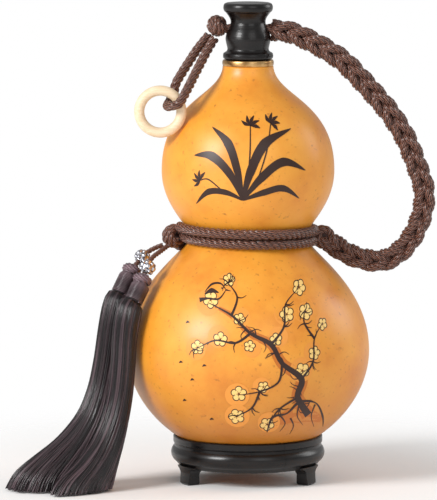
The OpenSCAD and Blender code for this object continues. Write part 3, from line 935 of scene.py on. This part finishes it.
def artwork():
    """Draws every stroke, then lays each colour over the gourd a little above the last."""
    rng = random.Random(ARTWORK_SEED)
    dark = orchid() + plum_branch(rng)
    dark.append(stroke(ROCK, [0.5, 1.6, 0.8, 1.9, 0.7, 1.5, 0.4], 9))
    dark += [stroke(crack, [1.1, 0.6, 0.2], 6) for crack in CRACKS]
    dark += [stroke(*part) for part in BIRD]
    dark.append(disc(*BIRD_EYE, 10))
    pale, warm = [], []
    for u, z in BLOSSOMS:
        r = rng.uniform(2.6, 4.0)
        fill, lines = blossom(u + rng.uniform(-1.5, 1.5), z + rng.uniform(-1.5, 1.5), r,
                              rng.uniform(0, 6))
        pale += fill
        dark += lines
        warm.append(disc(u, z, r * 1.7, 24))
    for u, z in LOOSE_PETALS:
        dark.append(stroke([(u - 1, z), (u, z + 0.8), (u + 1.2, z + 0.4)], [0.2, 1.2, 0.2], 5))
    bark = [stroke(TRUNK, [9, 7, 7, 6, 5, 4, 3, 1], 10), stroke(ROCK_SHADE, [3, 11, 3], 10)]
    for name, strips, finish, colour, lift in (
            ("burnt_wash", bark, "scorched_rind", "#c46d1c", 0.03),
            ("blossom_tint", warm, "faded_orange_wash", "#e8963a", 0.05),
            ("blossom_petals", pale, "pale_yellow_wash", "#f8cf7c", 0.09),
            ("drawn_lines", dark, "burnt_brown_line", colours().ink, 0.14)):
        drawn(name, strips, drawn_on_rind(finish, colour), lift)


# Operators

class GOURD_OT_stage(bpy.types.Operator):
    """Lay the floor, hang the lamps and place the camera"""
    bl_idname = "gourd_bottle.stage"
    bl_label = "Stage"

    def execute(self, context):
        scene = context.scene
        scene.view_settings.view_transform = "Standard"
        self.floor()
        self.sky(scene)
        for name, (spot, aim, wide, power) in LAMPS.items():
            lamp = bpy.data.lights.new(name, "AREA")
            lamp.shape = "RECTANGLE"
            lamp.size = wide
            lamp.size_y = wide
            lamp.energy = power
            self.aimed(name, lamp, Vector(spot), Vector(aim))
        camera = bpy.data.cameras.new("camera")
        camera.sensor_fit = "VERTICAL"
        camera.sensor_height = SENSOR_HEIGHT
        spot = CAMERA_AIM + Vector((0, -CAMERA_BACK, CAMERA_RISE))
        camera.lens = SENSOR_HEIGHT * (spot - CAMERA_AIM).length / VIEW_HEIGHT
        scene.camera = self.aimed("camera", camera, spot, CAMERA_AIM)
        return {"FINISHED"}

    def aimed(self, name, data, spot, aim):
        """A lamp or camera at its place, turned to the point it is aimed at."""
        obj = bpy.data.objects.new(name, data)
        obj.location = spot
        obj.rotation_euler = (spot - aim).to_track_quat("Z", "Y").to_euler()
        bpy.context.scene.collection.objects.link(obj)
        return obj

    def floor(self):
        """Flat sheet of paper under the bottle."""
        h = FLOOR_HALF
        mesh = bpy.data.meshes.new("floor")
        mesh.from_pydata([(-h, -h, 0), (h, -h, 0), (h, h, 0), (-h, h, 0)], [], [(0, 1, 2, 3)])
        mesh.materials.append(white_paper())
        floor = bpy.data.objects.new("floor", mesh)
        bpy.context.scene.collection.objects.link(floor)

    def sky(self, scene):
        """Even light from all round, which the camera itself sees as plain white."""
        world = bpy.data.worlds.new("studio")
        scene.world = world
        world.use_nodes = True
        tree = world.node_tree
        tree.nodes.clear()
        path = add(tree, "ShaderNodeLightPath")
        light = add(tree, "ShaderNodeBackground", Color=(1, 1, 1, 1), Strength=SKY_STRENGTH)
        white = add(tree, "ShaderNodeBackground", Color=(1, 1, 1, 1), Strength=1.0)
        both = add(tree, "ShaderNodeMixShader", [(0, path.outputs["Is Camera Ray"]),
                                                 (1, light.outputs[0]), (2, white.outputs[0])])
        add(tree, "ShaderNodeOutputWorld", [("Surface", both.outputs[0])])


class GOURD_OT_ring(bpy.types.Operator):
    """Make the wooden finger ring"""
    bl_idname = "gourd_bottle.ring"
    bl_label = "Wooden ring"

    def execute(self, context):
        low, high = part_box("wood_ring")
        tube_r = (high.y - low.y) / MM / 2
        round_n, across_n = RING_FACES_ROUND, RING_FACES_ACROSS
        verts, faces = [], []
        for i in range(round_n):
            a = 2 * math.pi * i / round_n
            for k in range(across_n):
                b = 2 * math.pi * k / across_n
                r = RING_MID_R + tube_r * math.cos(b)
                verts.append(RING_AT + np.array([r * math.cos(a), tube_r * math.sin(b),
                                                 r * math.sin(a)]))
                here, ahead = i * across_n, (i + 1) % round_n * across_n
                up = (k + 1) % across_n
                faces.append([here + k, here + up, ahead + up, ahead + k])
        ring = new_piece("finger_ring", verts, faces, sanded_beech())
        place(ring, "ring", "pale_wood", "wood_ring")
        return {"FINISHED"}


class GOURD_OT_cords(bpy.types.Operator):
    """Make the strap, the ring cord, the lashing and the tied knots"""
    bl_idname = "gourd_bottle.cords"
    bl_label = "Cords and knots"

    def execute(self, context):
        twisted = twisted_rayon_cord()
        self.strap(twisted)
        loop, line = rope("ring_cord_rope", RING_ROUTE, CORD_D, twisted)
        place(loop, "ring_loop", "twisted_cord", "ring_cord")
        self.lashing(twisted)
        for node, body, centre, axis, width, height, turns, d in KNOTS:
            tied = knot(f"{node}_rope", centre, axis, width, height, turns, d, twisted,
                        shaded_cord_core())
            place(tied, body, "twisted_cord", node)
        through, _ = rope("through_cord_rope", THROUGH_ROUTE, CORD_D, twisted)
        place(through, "stopper", "twisted_cord", "through_cord")
        return {"FINISHED"}

    def strap(self, twisted):
        """Four strands that cross in a round braid, each one a twisted cord."""
        line = even(smooth(STRAP_ROUTE, 8), 0.8)
        side, other = squares(line)
        along = np.linspace(0, length_of(line), len(line))
        d = sizes().braid_strand / MM
        plies = []
        for k in range(STRANDS):
            a = 2 * math.pi * (along / BRAID_PERIOD + k / STRANDS)
            swing, cross = BRAID_SWING * np.sin(a), BRAID_CROSS * np.sin(2 * a)
            strand = line + swing[:, None] * other + cross[:, None] * side
            plies += laid(even(strand, 0.8), d, STRAND_LAY)
        piece = corded("strap_rope", plies, PLY_RADIUS * d, PLY_SIDES, twisted)
        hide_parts("strap_braid")
        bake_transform(piece)

    def lashing(self, twisted):
        """Two turns of cord that fall round the waist, from one side of the knot to the other."""
        gap = math.radians(LASHING_GAP_DEG)
        start = math.atan2(LEFT_KNOT[1], LEFT_KNOT[0]) + gap
        span = 2 * math.pi * WAIST_TURNS - 2 * gap
        fall = WAIST_PITCH * WAIST_TURNS
        route = []
        for t in np.linspace(0, 1, LASHING_POINTS):
            z = LEFT_KNOT[2] + fall / 2 - fall * t
            r = gourd_r(z) + LASHING_OUT
            route.append((r * math.cos(start + span * t), r * math.sin(start + span * t), z))
        piece, _ = rope("lashing_rope", route, sizes().lashing / MM, twisted, steps=4)
        place(piece, "gourd", "twisted_cord", "waist_cord")


class GOURD_OT_shell(bpy.types.Operator):
    """Make the smooth gourd with its inner wall and drawn decoration"""
    bl_idname = "gourd_bottle.shell"
    bl_label = "Gourd"

    def execute(self, context):
        inwards = WALL * headings(OUTLINE)[:, ::-1] * (-1, 1)
        inner = OUTLINE + inwards
        rim_z = NECK[1]
        inner = inner[inner[:, 1] < rim_z - INNER_TOP_BELOW_RIM]
        inner[:, 0] = np.maximum(inner[:, 0], 0)
        inner[0, 0] = 0
        profile = [*OUTLINE, (MOUTH_R, rim_z), (MOUTH_R, rim_z - MOUTH_DEPTH), *inner[::-1]]
        shell = grown("gourd_body", profile, sizes().segments, lacquered_gourd_rind())
        place(shell, "gourd", "gourd_skin", "gourd_shell")
        artwork()
        return {"FINISHED"}


class GOURD_OT_woodwork(bpy.types.Operator):
    """Finish the stand, the stopper, the cork and the dowels"""
    bl_idname = "gourd_bottle.woodwork"
    bl_label = "Stand and stopper"

    def execute(self, context):
        for name in ("stand_segment_right", "stand_segment_back", "stand_segment_left",
                     "stopper_head"):
            finish_node(name, black_lacquered_wood())
        finish_node("seam_dowels", raw_birch_dowel())
        finish_node("stopper_cork", natural_cork())
        return {"FINISHED"}


class GOURD_OT_metal(bpy.types.Operator):
    """Finish the brass mouth ring and the cast beads"""
    bl_idname = "gourd_bottle.metal"
    bl_label = "Brass ring and beads"

    def execute(self, context):
        finish_node("mouth_ring", turned_brass())
        for name in ("bead_front", "bead_back"):
            finish_node(name, antiqued_silver_plate())
        return {"FINISHED"}


class GOURD_OT_tassels(bpy.types.Operator):
    """Make both tassels with their leads, knots, whipped necks and skirts"""
    bl_idname = "gourd_bottle.tassels"
    bl_label = "Tassels"

    def execute(self, context):
        for side in ("front", "back"):
            self.tassel(side)
        return {"FINISHED"}

    def tassel(self, side):
        """One tassel, whose lead runs on unseen through its knot and its neck."""
        body = f"tassel_{side}"
        d = sizes().lead / MM
        route = [at(p) for p in (*LEADS[side], NECK_FROM[side], NECK_TO[side])]
        lead, line = rope(f"lead_{side}_rope", route, d, twisted_rayon_cord(), lay=LEAD_LAY,
                          spacing=0.4)
        place(lead, body, "twisted_cord", f"lead_{side}")
        head = knot(f"tassel_knot_{side}_wound", at(TASSEL_KNOT[side]), TASSEL_KNOT_AXIS,
                    *TASSEL_KNOT_SIZE, rayon_tassel_thread(), shaded_tassel_core())
        place(head, body, "tassel_thread", f"tassel_knot_{side}")
        neck = place(self.neck(side), body, "tassel_thread", f"tassel_neck_{side}")
        place(self.skirt(side), body, "tassel_thread", f"tassel_skirt_{side}")

    def neck(self, side):
        """Thread whipped tightly round the neck."""
        a, b = at(NECK_FROM[side]), at(NECK_TO[side])
        reach = np.linalg.norm(b - a)
        turn = turned_to(b - a)

        def round_neck(r, angle, h):
            return a + turn @ (r * math.cos(angle), r * math.sin(angle), h)

        helix = []
        for t in np.linspace(0, 1, 26 * WHIP_TURNS):
            drawn_in = WHIP_DRAWN_IN * max(0.0, WHIP_DRAWN_SHARE - t) / WHIP_DRAWN_SHARE
            helix.append(round_neck(WHIP_R - drawn_in, 2 * math.pi * WHIP_TURNS * t, reach * t))
        name = f"tassel_neck_{side}_wound"
        wound = corded(name, [np.array(helix)], WHIP_THREAD_R, 6, rayon_tassel_thread(), [0.75])
        # Radius and height of the core, whose end stands out of the whipping
        core = ((3.4, 0), (4.6, 1.2), (4.6, reach - 0.6), (4.2, reach + 0.6))
        rings = [[round_neck(r, b, h) for b in np.linspace(0, 2 * math.pi, 28, False)]
                 for r, h in core]
        return join(name, [wound, loft("neck_core", rings, shaded_tassel_core())])

    def skirt(self, side):
        """Hundreds of threads that fall together and fan out over the table."""
        rng = random.Random(SEEDS[side])
        sections = smooth(SKIRT[side], 4)

        def point(s, a, share, lowest):
            v, u = s[2] * share * math.sin(a), s[5] * share * math.cos(a)
            tilt = math.radians(s[3])
            p = at((s[0] + v * math.cos(tilt), s[4] + u, s[1] + v * math.sin(tilt)))
            p[2] = max(p[2], lowest)
            return p

        # Each thread lies near the skirt's skin, drifts sideways, and waves as it falls
        lines, tones = [], []
        for _ in range(sizes().threads):
            a = rng.uniform(0, 2 * math.pi)
            share = rng.uniform(0.86, 1.0)
            drift = rng.uniform(-0.25, 0.25)
            last = len(sections) - rng.choice(STOPS_SHORT)
            wave = rng.uniform(0, 6)
            line = []
            for i in range(last):
                t = i / len(sections)
                b = a + drift * t * t + 0.03 * math.sin(wave + 9 * t)
                line.append(point(sections[i], b, share + 0.02 * math.sin(wave + 14 * t),
                                  THREAD_LOWEST))
            lines.append(even(np.array(line), THREAD_STEP))
            lock = 0.5 + 0.35 * math.sin(LOCKS * a) + rng.uniform(-0.3, 0.3)
            tones.append(min(1.0, max(0.0, lock)))
        name = f"tassel_skirt_{side}_threads"
        threads = corded(name, lines, sizes().thread / MM, 5, rayon_tassel_thread(), tones)
        rings = [[point(s, a, CORE_SHARE, CORE_LOWEST)
                  for a in np.linspace(0, 2 * math.pi, 40, False)] for s in sections]
        return join(name, [threads, loft("skirt_core", rings, shaded_tassel_core())])


class GOURD_PT_panel(bpy.types.Panel):
    """Lists the sizes, colours and pieces of the gourd bottle"""
    bl_idname = "GOURD_PT_panel"
    bl_label = "Gourd Bottle"
    bl_space_type = "VIEW_3D"
    bl_region_type = "UI"
    bl_category = "Gourd Bottle"

    def draw(self, context):
        for group in (sizes(), colours()):
            for name in group.__annotations__:
                self.layout.prop(group, name)
        for operator in OPERATORS:
            self.layout.operator(operator.bl_idname)


OPERATORS = (GOURD_OT_stage, GOURD_OT_ring, GOURD_OT_cords, GOURD_OT_shell,
             GOURD_OT_woodwork, GOURD_OT_metal, GOURD_OT_tassels)
CLASSES = (GourdBottleSizes, GourdBottleColours, *OPERATORS, GOURD_PT_panel)


def register():
    for c in CLASSES:
        bpy.utils.register_class(c)
    bpy.types.Scene.gourd_bottle_sizes = bpy.props.PointerProperty(type=GourdBottleSizes)
    bpy.types.Scene.gourd_bottle_colours = bpy.props.PointerProperty(type=GourdBottleColours)


def unregister():
    del bpy.types.Scene.gourd_bottle_colours
    del bpy.types.Scene.gourd_bottle_sizes
    for c in reversed(CLASSES):
        bpy.utils.unregister_class(c)


def main():
    register()
    bpy.ops.gourd_bottle.stage()
    bpy.ops.gourd_bottle.ring()
    bpy.ops.gourd_bottle.cords()
    bpy.ops.gourd_bottle.shell()
    bpy.ops.gourd_bottle.woodwork()
    bpy.ops.gourd_bottle.metal()
    bpy.ops.gourd_bottle.tassels()


if __name__ == "__main__":
    main()
